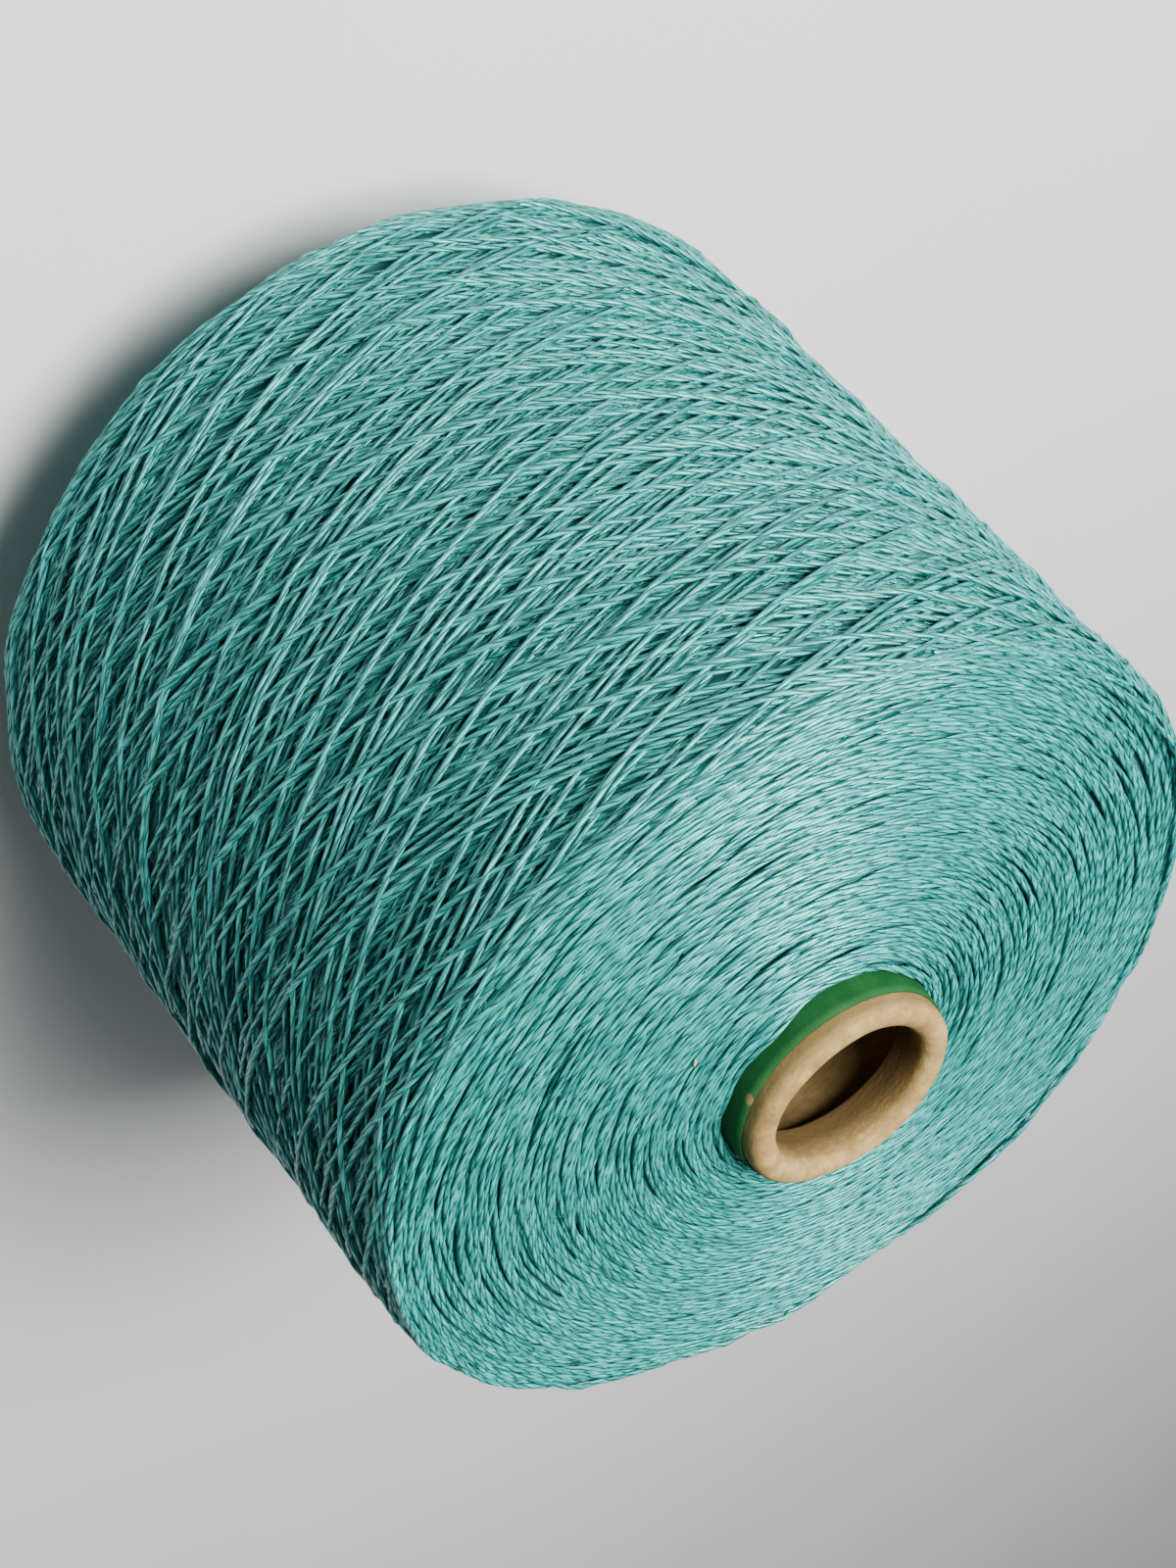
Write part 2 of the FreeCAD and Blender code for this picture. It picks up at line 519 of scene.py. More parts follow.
class StrandSweep:
    """Geometry Nodes tree that sweeps a round section along polylines."""

    def __init__(self) -> None:
        """Build the tree once; every strand piece shares it."""
        self.tree = bpy.data.node_groups.new("strand_sweep", "GeometryNodeTree")
        self.sockets: dict[str, str] = {}
        face = self.tree.interface
        for name, kind in (("Strands", "NodeSocketGeometry"), ("Yarn Radius", "NodeSocketFloat"),
                           ("Sides", "NodeSocketInt"), ("Finish", "NodeSocketMaterial")):
            socket = face.new_socket(name, in_out="INPUT", socket_type=kind)
            self.sockets[name] = socket.identifier
        face.new_socket("Yarn", in_out="OUTPUT", socket_type="NodeSocketGeometry")
        entry = self._node("NodeGroupInput", {}, {})
        curve = self._node("GeometryNodeMeshToCurve", {}, {"Mesh": entry.outputs["Strands"]})
        upright = self._node("GeometryNodeSetCurveNormal", {"mode": "Z_UP"}, {"Curve": curve.outputs[0]})
        section = self._node("GeometryNodeCurvePrimitiveCircle", {}, {
            "Resolution": entry.outputs["Sides"], "Radius": entry.outputs["Yarn Radius"]})
        place = self._node("GeometryNodeSplineParameter", {}, {})
        marked = self._node("GeometryNodeStoreNamedAttribute", {"data_type": "FLOAT", "domain": "POINT"}, {
            "Geometry": section.outputs["Curve"], "Name": AROUND, "Value": place.outputs["Factor"]})
        girth = self._node("GeometryNodeInputNamedAttribute", {"data_type": "FLOAT"}, {"Name": GIRTH})
        swept = self._node("GeometryNodeCurveToMesh", {}, {
            "Curve": upright.outputs[0], "Profile Curve": marked.outputs[0],
            "Scale": girth.outputs["Attribute"], "Fill Caps": True})
        smooth = self._node("GeometryNodeSetShadeSmooth", {}, {"Geometry": swept.outputs[0]})
        real = self._node("GeometryNodeRealizeInstances", {}, {"Geometry": smooth.outputs[0]})
        dressed = self._node("GeometryNodeSetMaterial", {}, {
            "Geometry": real.outputs[0], "Material": entry.outputs["Finish"]})
        self._node("NodeGroupOutput", {}, {"Yarn": dressed.outputs[0]})

    def _node(self, kind: str, settings: Mapping[str, Any], sockets: Mapping[str, Any]) -> bpy.types.Node:
        """Add one node.

        Args:
            kind: The node's type.
            settings: Properties set first.
            sockets: Values or links by input name.

        Returns:
            The node.
        """
        node = self.tree.nodes.new(kind)
        for key, value in settings.items():
            setattr(node, key, value)
        for key, value in sockets.items():
            if isinstance(value, bpy.types.NodeSocket):
                self.tree.links.new(value, node.inputs[key])
            else:
                node.inputs[key].default_value = value
        return node

    def sweep(
        self, name: str, strands: Strands, radius: float, sides: int, finish: bpy.types.Material
    ) -> bpy.types.Object:
        """Sweep strands into one plain mesh.

        Args:
            name: The piece's name.
            strands: The polylines.
            radius: The yarn's radius.
            sides: How many sides the round section has.
            finish: The yarn's material.

        Returns:
            The piece, a plain mesh with its strand map and bake map.
        """
        source = strands.as_object(name + "_line")
        modifier = source.modifiers.new("sweep", "NODES")
        modifier.node_group = self.tree
        modifier[self.sockets["Yarn Radius"]] = radius
        modifier[self.sockets["Sides"]] = sides
        modifier[self.sockets["Finish"]] = finish
        depsgraph = bpy.context.evaluated_depsgraph_get()
        mesh = bpy.data.meshes.new_from_object(
            source.evaluated_get(depsgraph), preserve_all_data_layers=True, depsgraph=depsgraph
        )
        source.modifiers.remove(modifier)
        bpy.data.objects.remove(source)
        mesh.name = name
        self._map_strands(mesh, TURN * radius)
        piece = bpy.data.objects.new(name, mesh)
        bpy.context.collection.objects.link(piece)
        log.info("%s: %d faces", name, len(mesh.polygons))
        return piece

    @staticmethod
    def _map_strands(mesh: bpy.types.Mesh, girth: float) -> None:
        """Give a swept mesh its two maps: along and around the yarn, and rows of strips for baking.

        Args:
            mesh: The mesh, with the way along and around at each of its points.
            girth: The way once round the yarn.
        """
        corners = len(mesh.loops)
        vertex = np.empty(corners, dtype=np.int32)
        mesh.loops.foreach_get("vertex_index", vertex)
        along, around = (np.empty(len(mesh.vertices), dtype=np.float32) for _ in range(2))
        mesh.attributes[ALONG].data.foreach_get("value", along)
        mesh.attributes[AROUND].data.foreach_get("value", around)
        sizes = np.empty(len(mesh.polygons), dtype=np.int32)
        mesh.polygons.foreach_get("loop_total", sizes)
        starts = np.concatenate(([0], np.cumsum(sizes)[:-1]))
        face_of = np.repeat(np.arange(len(sizes)), sizes)
        u, v = along[vertex].astype(np.float64), around[vertex].astype(np.float64)
        high, low = np.maximum.reduceat(v, starts), np.minimum.reduceat(v, starts)
        wraps = ((high - low > 0.5) & (sizes == 4))[face_of]
        v = np.where(wraps & (v < 0.5), v + 1, v)
        layer = mesh.uv_layers.new(name=STRAND_MAP)
        layer.data.foreach_set("uv", np.stack((u, v), axis=1).astype(np.float32).ravel())
        first = np.minimum.reduceat(u, starts)
        length = float(u.max() - u.min())
        spread, margin, overrun = 1.12, 0.05, 1.02
        row = math.sqrt(length * girth * spread)
        rows = math.ceil(length / row) + 1
        number = np.floor((first - u.min()) / row)[face_of]
        across = (u - u.min() - number * row) / (row * overrun)
        up = (number + margin + (1 - 2 * margin) * np.clip(v, 0, 1)) / rows
        bake = mesh.uv_layers.new(name=BAKE_MAP)
        bake.data.foreach_set("uv", np.stack((across, up), axis=1).astype(np.float32).ravel())
        mesh.attributes.remove(mesh.attributes[ALONG])
        mesh.attributes.remove(mesh.attributes[AROUND])


@dataclass
class Strands:
    """Polylines in space with the yarn's way along them."""

    uneven: tuple[float, float] = (0.06, 0.04)  # how much the yarn's thickness varies, in two waves
    waves: tuple[float, float] = (260.0, 97.0)  # radians of each wave in a metre
    lines: list[np.ndarray] = field(default_factory=list)
    along: list[np.ndarray] = field(default_factory=list)
    total: float = 0.0

    def add(self, points: np.ndarray) -> None:
        """Add one polyline; its way along carries on from the last.

        Args:
            points: Its points, one row each.
        """
        steps = np.linalg.norm(np.diff(points, axis=0), axis=1)
        way = self.total + np.concatenate(([0.0], np.cumsum(steps)))
        self.lines.append(points)
        self.along.append(way)
        self.total = float(way[-1])

    def as_object(self, name: str) -> bpy.types.Object:
        """Make the polylines one object.

        Args:
            name: The object's name.

        Returns:
            An object of bare edges, with the way along and the girth at each point.
        """
        points = np.concatenate(self.lines)
        numbers = np.cumsum([0] + [len(line) for line in self.lines])
        edges = np.concatenate([
            np.stack((np.arange(start, end - 1), np.arange(start + 1, end)), axis=1)
            for start, end in zip(numbers, numbers[1:])
        ])
        mesh = bpy.data.meshes.new(name)
        mesh.vertices.add(len(points))
        mesh.vertices.foreach_set("co", points.astype(np.float32).ravel())
        mesh.edges.add(len(edges))
        mesh.edges.foreach_set("vertices", edges.astype(np.int32).ravel())
        way = np.concatenate(self.along)
        swell = 1.0 + sum(size * np.sin(way * wave) for size, wave in zip(self.uneven, self.waves))
        for key, values in ((ALONG, way), (GIRTH, swell)):
            attribute = mesh.attributes.new(key, "FLOAT", "POINT")
            attribute.data.foreach_set("value", values.astype(np.float32))
        mesh.update()
        source = bpy.data.objects.new(name, mesh)
        bpy.context.collection.objects.link(source)
        return source


# ------------------------------------------------------------------------------- the package's form


@dataclass
class PackageForm:
    """The yarn package's outer form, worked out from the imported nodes' boxes and its own driving sizes."""

    nose_shoulder: float = 80.0 * MM
    base_shoulder: float = 88.3 * MM
    nose_rise: float = 5.1 * MM
    base_rise: float = 10.1 * MM
    face_crown: float = 0.8 * MM
    taper: float = 4 + 20 / 60  # degrees between the cone's side and its axis
    softness: float = 4.5 * MM  # half the width of a shoulder's bend
    overlap: float = 24.0 * MM  # how far the traced skin runs in over each end
    face_points: int = 97  # along each overlap
    side_points: int = 501

    def __post_init__(self) -> None:
        """Read the ends of the package and of the cone from the frame, and trace the skin."""
        self.base_z, self.nose_z = self._ends("yarn_body")
        self.cover_low, self.cover_high = self._ends("cover_ply")
        self.cone_foot, self.cone_tip = self._ends("kraft_cone")
        self.cover_foot_radius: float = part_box("cover_ply")[1][0]
        self.slope = math.tan(math.radians(self.taper))
        self._trace_skin()

    @staticmethod
    def _ends(node: str) -> tuple[float, float]:
        """Lowest and highest height of a CAD node."""
        low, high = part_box(node)
        return low[2], high[2]

    def tube(self, z: Any) -> Any:
        """Radius of the cover ply's outside at a height."""
        return self.cover_foot_radius - (z - self.cover_low) * self.slope

    def shoulder(self, end: End) -> float:
        """Radius of one end's sharp shoulder."""
        return self.nose_shoulder if end is End.NOSE else self.base_shoulder

    def shoulder_z(self, end: End) -> float:
        """Height of one end's sharp shoulder."""
        return self.nose_z - self.nose_rise if end is End.NOSE else self.base_z + self.base_rise

    def face(self, end: End, radius: Any) -> Any:
        """Height of one end face, with its crown.

        Args:
            end: Which end.
            radius: A radius, or an array of them.

        Returns:
            The height at each radius.
        """
        if end is End.NOSE:
            tube_z, rise, outwards = self.nose_z, self.nose_rise, 1.0
        else:
            tube_z, rise, outwards = self.base_z, self.base_rise, -1.0
        inner = self.tube(tube_z)
        share = (radius - inner) / (self.shoulder(end) - inner)
        return tube_z - outwards * (rise * share - 4 * self.face_crown * share * (1 - share))

    def _trace_skin(self) -> None:
        """Trace the outside from the base's face over both shoulders to the nose's, with soft bends."""
        count = self.face_points
        base_run = np.linspace(self.base_shoulder - self.overlap, self.base_shoulder, count)
        nose_run = np.linspace(self.nose_shoulder, self.nose_shoulder - self.overlap, count)
        side_run = np.linspace(0, 1, self.side_points)[1:-1]
        low, high = self.shoulder_z(End.BASE), self.shoulder_z(End.NOSE)
        radius = np.concatenate((
            base_run, self.base_shoulder + (self.nose_shoulder - self.base_shoulder) * side_run, nose_run))
        z = np.concatenate((
            self.face(End.BASE, base_run), low + (high - low) * side_run, self.face(End.NOSE, nose_run)))
        half = round(self.softness / self.overlap * (count - 1))
        kernel = np.ones(2 * half + 1) / (2 * half + 1)
        radius, z = (np.convolve(values, kernel, mode="valid") for values in (radius, z))
        way = np.concatenate(([0.0], np.cumsum(np.hypot(np.diff(radius), np.diff(z)))))
        corner = count - 1 - half
        self.skin_way = way - way[corner]
        self.skin_length = float(self.skin_way[-1 - corner])
        self.skin_radius, self.skin_z = radius, z
        slope_r, slope_z = np.gradient(radius, way), np.gradient(z, way)
        size = np.hypot(slope_r, slope_z)
        self.skin_out_r, self.skin_out_z = slope_z / size, -slope_r / size

    def skin(self, way: Any) -> tuple[Any, Any, Any, Any]:
        """The skin at a way from the base's shoulder: radius, height and outward normal's two parts."""
        return tuple(np.interp(way, self.skin_way, values) for values in (
            self.skin_radius, self.skin_z, self.skin_out_r, self.skin_out_z))

    def place(self, angle: np.ndarray, way: np.ndarray, lift: np.ndarray) -> np.ndarray:
        """Put points round the package.

        Args:
            angle: Each point's angle.
            way: Its way along the skin.
            lift: How far off the skin it lies.

        Returns:
            The points in space, one row each.
        """
        radius, z, out_r, out_z = self.skin(way)
        radius = radius + out_r * lift
        return np.stack((radius * np.cos(angle), radius * np.sin(angle), z + out_z * lift), axis=1)


@dataclass
class YarnSizes:
    """The yarn itself."""

    radius: float = 0.45 * MM
    pressed: float = 0.19 * MM  # half its thickness where turns cross


# ----------------------------------------------------------------------------------- the last wraps


class WoundSurface:
    """How high the yarn laid so far stands over the core, on a grid round it and along its skin."""

    def __init__(self, low: float, high: float, around: int, cell: float) -> None:
        """Start with a bare core.

        Args:
            low: The least way along the skin that the grid covers.
            high: The greatest.
            around: Cells in one turn.
            cell: A cell's length along the skin.
        """
        self.low = low
        self.cell = cell
        self.around = around
        self.rows = math.ceil((high - low) / cell)
        self.top = np.zeros((around, self.rows))
        self.depths = np.zeros((1, self.rows))

    def _row(self, way: np.ndarray) -> np.ndarray:
        """Grid row at each way along the skin."""
        return np.clip(((way - self.low) / self.cell).astype(int), 0, self.rows - 1)

    def _cells(self, angle: np.ndarray, way: np.ndarray, shift: float) -> tuple[np.ndarray, np.ndarray]:
        """Grid cells under a path moved along the skin by shift."""
        column = np.floor(angle / TURN * self.around).astype(int) % self.around
        return column, self._row(way + shift)

    def under(self, angle: np.ndarray, way: np.ndarray, half: float) -> np.ndarray:
        """Highest yarn under each point of a path of some half width."""
        cells = [self._cells(angle, way, shift) for shift in (-half, 0.0, half)]
        return np.maximum.reduce([self.top[cell] for cell in cells])

    def cover(
        self, angle: np.ndarray, way: np.ndarray, centre: np.ndarray, half: np.ndarray, width: float
    ) -> None:
        """Add a laid path to the grid, its top rounded off to either side.

        Args:
            angle: Each point's angle.
            way: Its way along the skin.
            centre: The height of the yarn's middle there.
            half: Half the yarn's thickness there.
            width: Half the yarn's width.
        """
        rounding = 0.3
        for shift, share in ((-width, rounding), (0.0, 1.0), (width, rounding)):
            np.maximum.at(self.top, self._cells(angle, way, shift), centre + half * share)

    def measure(self, level: float, sectors: int) -> None:
        """Work out how deep the yarn lies in each sector of the turn and along the skin, smoothed.

        Args:
            level: Percentile of the yarn's height that is taken as its top.
            sectors: How many sectors the turn is shared into.
        """
        depths = np.percentile(self.top.reshape(sectors, -1, self.rows), level, axis=1)
        depths = (np.roll(depths, 1, axis=0) + 2 * depths + np.roll(depths, -1, axis=0)) / 4
        half = 6
        kernel = np.ones(2 * half + 1) / (2 * half + 1)
        padded = np.pad(depths, ((0, 0), (half, half)), mode="edge")
        self.depths = np.stack([np.convolve(row, kernel, "valid") for row in padded])

    def depth(self, angle: np.ndarray, way: np.ndarray) -> np.ndarray:
        """How deep the yarn lies, as measured.

        Args:
            angle: Each point's angle.
            way: Its way along the skin.

        Returns:
            The depth at each point.
        """
        sectors = len(self.depths)
        place = angle / TURN * sectors - 0.5
        sector = np.floor(place).astype(int)
        share = place - sector
        here, there = (self.depths[column % sectors, self._row(way)] for column in (sector, sector + 1))
        return here * (1 - share) + there * share


def taut(way: np.ndarray, height: np.ndarray, curvature: float) -> np.ndarray:
    """Pull a thread tight over bumps on a curved surface.

    Args:
        way: Distance along the thread.
        height: The least height of the thread's middle at each point.
        curvature: The surface's curvature along the thread.

    Returns:
        The thread's height at each point: the lowest line over the bumps that never bends inwards.
    """
    drop = curvature * way * way / 2
    flat = (height - drop).tolist()
    run = way.tolist()
    kept: list[int] = []
    for i, level in enumerate(flat):
        while len(kept) > 1:
            a, b = kept[-2], kept[-1]
            if (flat[b] - flat[a]) * (run[i] - run[a]) > (level - flat[a]) * (run[b] - run[a]):
                break
            kept.pop()
        kept.append(i)
    return np.interp(way, way[kept], np.array(flat)[kept]) + drop


@dataclass
class LastWraps:
    """The cross-wound side: one length of yarn laid to and fro, each turn taut over the ones below."""

    form: PackageForm
    yarn: YarnSizes
    seed: int = 11
    doubles: int = 240  # to-and-fro traverses
    top_doubles: int = 46  # the last of them, spaced out in bundles
    starts: int = 6  # doubles laid before one falls beside another
    turns: int = 11  # that those doubles make
    filling: float = 33.6 * MM  # how far apart those two lie round the package, in the lower layers
    spacing: float = 23.2 * MM  # and in the last ones
    wander: float = 1.7 * MM
    bunching: float = 0.8  # how unevenly the last ones are spaced
    bunch: float = 21.0  # doubles from one bunch to the next
    turn_radius: float = 165.0 * MM  # of the yarn's path where it turns back
    turn_spread: tuple[float, float] = (0.7, 1.35)  # least and greatest share of it
    beyond: float = 0.9 * MM  # how far past the shoulder it turns back
    scatter: float = 1.5 * MM
    reach: tuple[float, float] = (-2.2 * MM, 3.4 * MM)  # least and greatest that it may be
    waver: float = 0.14 * MM  # size of each slow wave in the path
    waver_length: tuple[float, float] = (9.0, 30.0)  # millimetres in a radian of it, least and greatest
    slant: float = 16.0  # degrees between the turns and a circle round the package
    edge_band: float = 10.0 * MM  # width of the band by each shoulder where turns press harder
    edge_press: float = 0.45  # share of their thickness that they lose there
    margin: float = 8.0 * MM  # how far past the shoulders the laid yarn is kept track of
    around: int = 1080  # cells round the package that it is kept track of in
    step: float = 0.5 * MM
    level: float = 96.0  # percentile of the laid yarn's height that meets the skin
    sectors: int = 24  # in each of which it is taken
    loose: float = 1.15 * MM  # depth over which the turns lie as laid
    squeeze: float = 1.0 * MM  # what the pull of the turns above leaves of all the depth below that
    fine_below: int = 30  # traverses below the last doubles that are swept as finely as them
    laid: list[tuple[np.ndarray, np.ndarray, np.ndarray]] = field(default_factory=list)

    def __post_init__(self) -> None:
        """Start with a bare core."""
        high = self.form.skin_length + self.margin
        self.surface = WoundSurface(-self.margin, high, self.around, self.step)

    def lay(self) -> None:
        """Lay every traverse in turn; keep its angle, way along the skin and height over the core."""
        rng = np.random.default_rng(self.seed)
        length = self.form.skin_length
        mean_radius = (self.form.nose_shoulder + self.form.base_shoulder) / 2
        angle, apex, bend = 0.0, -self.beyond, self.turn_radius
        for number in range(2 * self.doubles):
            rising = number % 2 == 0
            over = float(np.clip(rng.normal(self.beyond, self.scatter), *self.reach))
            next_apex = length + over if rising else -over
            next_bend = self.turn_radius * rng.uniform(*self.turn_spread)
            last = number >= 2 * (self.doubles - self.top_doubles)
            crowd = 1 + self.bunching * math.sin(math.pi * number / self.bunch)
            spacing = self.spacing * crowd if last else self.filling
            apart = spacing / self.starts + rng.normal(0, self.wander)
            turns = self.turns / self.starts / 2 + apart / 2 / (TURN * mean_radius)
            theta, way = self._traverse(angle, turns * TURN, (apex, next_apex), (bend, next_bend), rng)
            self._settle(theta, way)
            angle, apex, bend = theta[-1], next_apex, next_bend
        self.surface.measure(self.level, self.sectors)

    def _traverse(
        self,
        angle: float,
        sweep: float,
        ends: tuple[float, float],
        bends: tuple[float, float],
        rng: np.random.Generator,
    ) -> tuple[np.ndarray, np.ndarray]:
        """Path of one traverse: a turn-back, a steady helix and a turn-back.

        Args:
            angle: Where it starts, in radians.
            sweep: The angle that it goes round.
            ends: Way along the skin of its two turning points.
            bends: Radius of the path at each of them.
            rng: Source of the path's slight waver.

        Returns:
            The angle and the way along the skin at each point.
        """
        mean_radius = float(self.form.skin((ends[0] + ends[1]) / 2)[0])
        run, rise = sweep * mean_radius, abs(ends[1] - ends[0])
        both = bends[0] + bends[1]
        pitch = (run - math.sqrt(run * run - 2 * both * rise)) / both
        x = np.arange(0, run, self.step)
        left = run - x
        climb = np.where(x < pitch * bends[0], x * x / (2 * bends[0]), pitch * (x - pitch * bends[0] / 2))
        climb = np.where(left < pitch * bends[1], rise - left * left / (2 * bends[1]), climb)
        waver = np.zeros(len(x))
        for _ in range(3):
            size, length = rng.normal(0, self.waver), rng.uniform(*self.waver_length)
            waver = waver + size * np.sin(x / length / MM + rng.uniform(0, TURN))
        way = ends[0] + math.copysign(1, ends[1] - ends[0]) * climb + waver * np.sin(np.pi * x / run)
        grow = np.cumsum(self.step / self.form.skin(way)[0])
        return angle + grow * (sweep / grow[-1]), way

    def _settle(self, theta: np.ndarray, way: np.ndarray) -> None:
        """Pull one traverse taut over the yarn so far, and keep its line.

        Args:
            theta: Each point's angle.
            way: Its way along the skin.
        """
        inside = np.minimum(way, self.form.skin_length - way)
        edge = np.clip(1 - inside / self.edge_band, 0, 1)
        half = self.yarn.pressed * (1 - self.edge_press * edge)
        below = self.surface.under(theta, way, self.yarn.radius * 0.8)
        round_share = math.cos(math.radians(self.slant))
        curvature = round_share * round_share / self.form.nose_shoulder
        height = taut(np.arange(len(way)) * self.step, below + half, curvature)
        self.surface.cover(theta, way, height, half, self.yarn.radius)
        self.laid.append((theta, way, height))

    def _pressed(self, depth: np.ndarray) -> np.ndarray:
        """Lift off the skin of yarn laid at some depth under it: the deeper, the more it is squeezed."""
        buried = np.maximum(depth - self.loose, 0)
        return -np.minimum(depth, self.loose) - self.squeeze * (1 - np.exp(-buried / self.squeeze))

    def lines(self) -> list[np.ndarray]:
        """Every traverse's middle line in space, with the yarn's top at the skin."""
        return [self.form.place(theta, way, self._pressed(self.surface.depth(theta, way) - height))
                for theta, way, height in self.laid]

    def floor_outline(self) -> Outline:
        """Half-section of the core's side under the wraps.

        Returns:
            Radius and height of its points, from the base to the nose.
        """
        inset, gap = 0.5 * MM, 0.1 * MM
        way = np.linspace(inset, self.form.skin_length - inset, 40)
        radius, z, out_r, out_z = self.form.skin(way)
        angles = np.linspace(0, TURN, 72, endpoint=False)
        depth = np.mean([self.surface.depth(np.full(len(way), angle), way) for angle in angles], axis=0)
        log.info("wraps lie %.2f mm deep before they are squeezed", float(np.median(depth)) / MM)
        sunk = gap - self._pressed(depth)
        return [(float(a), float(b)) for a, b in zip(radius - out_r * sunk, z - out_z * sunk)]

    def build(self, sweeper: StrandSweep, finish: bpy.types.Material) -> list[bpy.types.Object]:
        """Sweep the laid yarn: the buried turns coarsely, the turns on top finely.

        Args:
            sweeper: The tree that sweeps strands.
            finish: The yarn's material.

        Returns:
            The pieces, from the inside out.
        """
        lines = self.lines()
        split = len(lines) - 2 * self.top_doubles - self.fine_below
        way = 0.0
        pieces = []
        parts = 3
        plan = (("wraps_under", lines[:split], 9, 5), ("wraps_top", lines[split:], 3, 6))
        for name, group, keep, sides in plan:
            for part in range(parts):
                chosen = group[part * len(group) // parts:(part + 1) * len(group) // parts]
                joined = np.concatenate(chosen)
                strands = Strands(total=way)
                strands.add(joined[np.unique(np.append(np.arange(0, len(joined), keep), len(joined) - 1))])
                way = strands.total
                pieces.append(sweeper.sweep(f"{name}_{part + 1}", strands, self.yarn.radius, sides, finish))
        return pieces


# ------------------------------------------------------------------------------------ the end faces


@dataclass
class EndFace:
    """One end of the package: the turning points of the buried turns, packed side by side."""

    form: PackageForm
    yarn: YarnSizes
    end: End
    seed: int
    pitch: float = 0.95 * MM  # between rows of arcs
    length: float = 44.0 * MM
    lap: float = 0.66  # share of an arc before the next in its row starts
    layers: tuple[float, ...] = (0.72 * MM, 0.0)  # how deep each layer of rows lies
    dive: float = 1.3 * MM  # how deep an arc's ends go under its neighbours
    lean: float = 2.1  # degrees by which single arcs lean
    collar: float = 0.55 * MM  # how unevenly the yarn climbs the tube
    collar_reach: float = 3 * MM
    inset: tuple[float, float] = (0.6 * MM, 1.2 * MM)  # from the tube and from the shoulder
    step: float = 2.6 * MM

    def _limits(self) -> tuple[float, float]:
        """Least and greatest radius of the arcs."""
        tube = self.form.tube(self.form.face(self.end, 0.0))
        return tube + self.inset[0], self.form.shoulder(self.end) - self.inset[1]

    @staticmethod
    def _shared_lean(radius: float, middle: float) -> float:
        """Degrees by which all the arcs near a place lean."""
        slow = 1.6 * math.sin(3 * middle + radius * 140.0)
        return slow + 1.2 * math.sin(7 * middle - radius * 260.0 + 1.0)

    def _arc(
        self, radius: float, middle: float, reach: float, sink: float, rng: np.random.Generator
    ) -> np.ndarray:
        """One arc: it dives under its neighbours at both ends.

        Args:
            radius: Its distance from the axis.
            middle: The angle of its middle.
            reach: Half its length.
            sink: How deep it lies.
            rng: Source of its waver.

        Returns:
            Its points.
        """
        inner, outer = self._limits()
        share = np.linspace(-1, 1, round(2 * reach / self.step) + 1)
        slope = math.tan(math.radians(self._shared_lean(radius, middle) + rng.normal(0, self.lean)))
        sway = rng.normal(0, 0.22 * MM) * np.cos(np.pi * share)
        sway = sway + rng.normal(0, 0.14 * MM) * np.sin(TURN * share)
        r = np.clip(radius + slope * reach * share + sway, inner, outer)
        theta = middle + reach * share / radius
        drop = sink + self.dive * (0.35 * share**2 + 0.65 * share**6) + rng.uniform(0.0, 0.5) * MM
        outwards = 1.0 if self.end is End.NOSE else -1.0
        waves = np.sin(4 * theta + 0.5) + 0.6 * np.sin(9 * theta + 2.0)
        climb = self.collar * waves * np.exp((inner - r) / self.collar_reach)
        z = self.form.face(self.end, r) - outwards * (drop + self.yarn.radius - climb)
        return np.stack((r * np.cos(theta), r * np.sin(theta), z), axis=1)

    def build(self, sweeper: StrandSweep, finish: bpy.types.Material, parts: int) -> list[bpy.types.Object]:
        """Lay the arcs row by row and sweep them.

        Args:
            sweeper: The tree that sweeps strands.
            finish: The yarn's material.
            parts: How many pieces to share the arcs among.

        Returns:
            The pieces.
        """
        rng = np.random.default_rng(self.seed)
        inner, outer = self._limits()
        arcs = []
        for number, sink in enumerate(self.layers):
            for row in np.arange(inner + number * self.pitch / 2, outer, self.pitch):
                count = max(4, round(TURN * row / (self.length * self.lap)))
                start = rng.uniform(0, TURN)
                for k in range(count):
                    reach = TURN * row / count / self.lap / 2 * rng.uniform(0.8, 1.2)
                    middle = start + TURN * (k + rng.uniform(-0.2, 0.2)) / count
                    arcs.append(self._arc(row + rng.normal(0, 0.12 * MM), middle, reach, sink, rng))
        pieces = []
        for part in range(parts):
            strands = Strands()
            for arc in arcs[part::parts]:
                strands.add(arc)
            name = f"{self.end.value}_face_yarn_{part + 1}"
            pieces.append(sweeper.sweep(name, strands, self.yarn.radius, 5, finish))
        return pieces


@dataclass
class WoundCore:
    """The closed body under the modelled strands."""

    form: PackageForm
    side: Outline
    face_depth: float = 1.9 * MM
    step: float = 4 * MM
    around: int = 288

    def build(self, finish: bpy.types.Material) -> bpy.types.Object:
        """Turn the core's outline once round.

        Args:
            finish: The buried yarn's material.

        Returns:
            The core.
        """
        form = self.form
        outline: Outline = []
        for end in (End.BASE, End.NOSE):
            tube_z = form.base_z if end is End.BASE else form.nose_z
            inwards = 1.0 if end is End.BASE else -1.0
            side_radius = self.side[0 if end is End.BASE else -1][0]
            radii = np.linspace(form.tube(tube_z), side_radius - 1 * MM, 24)
            run = [(float(r), float(form.face(end, r) + inwards * self.face_depth)) for r in radii]
            outline += run + self.side if end is End.BASE else run[::-1]
        points = divided(outline, self.step)
        angles = np.linspace(0, TURN, self.around, endpoint=False)
        place = np.stack((
            points[:, :1] * np.cos(angles), points[:, :1] * np.sin(angles),
            np.repeat(points[:, 1:], self.around, axis=1)), axis=-1).reshape(-1, 3)
        return mesh_object("yarn_core", place, turned_faces(len(points), self.around), finish)


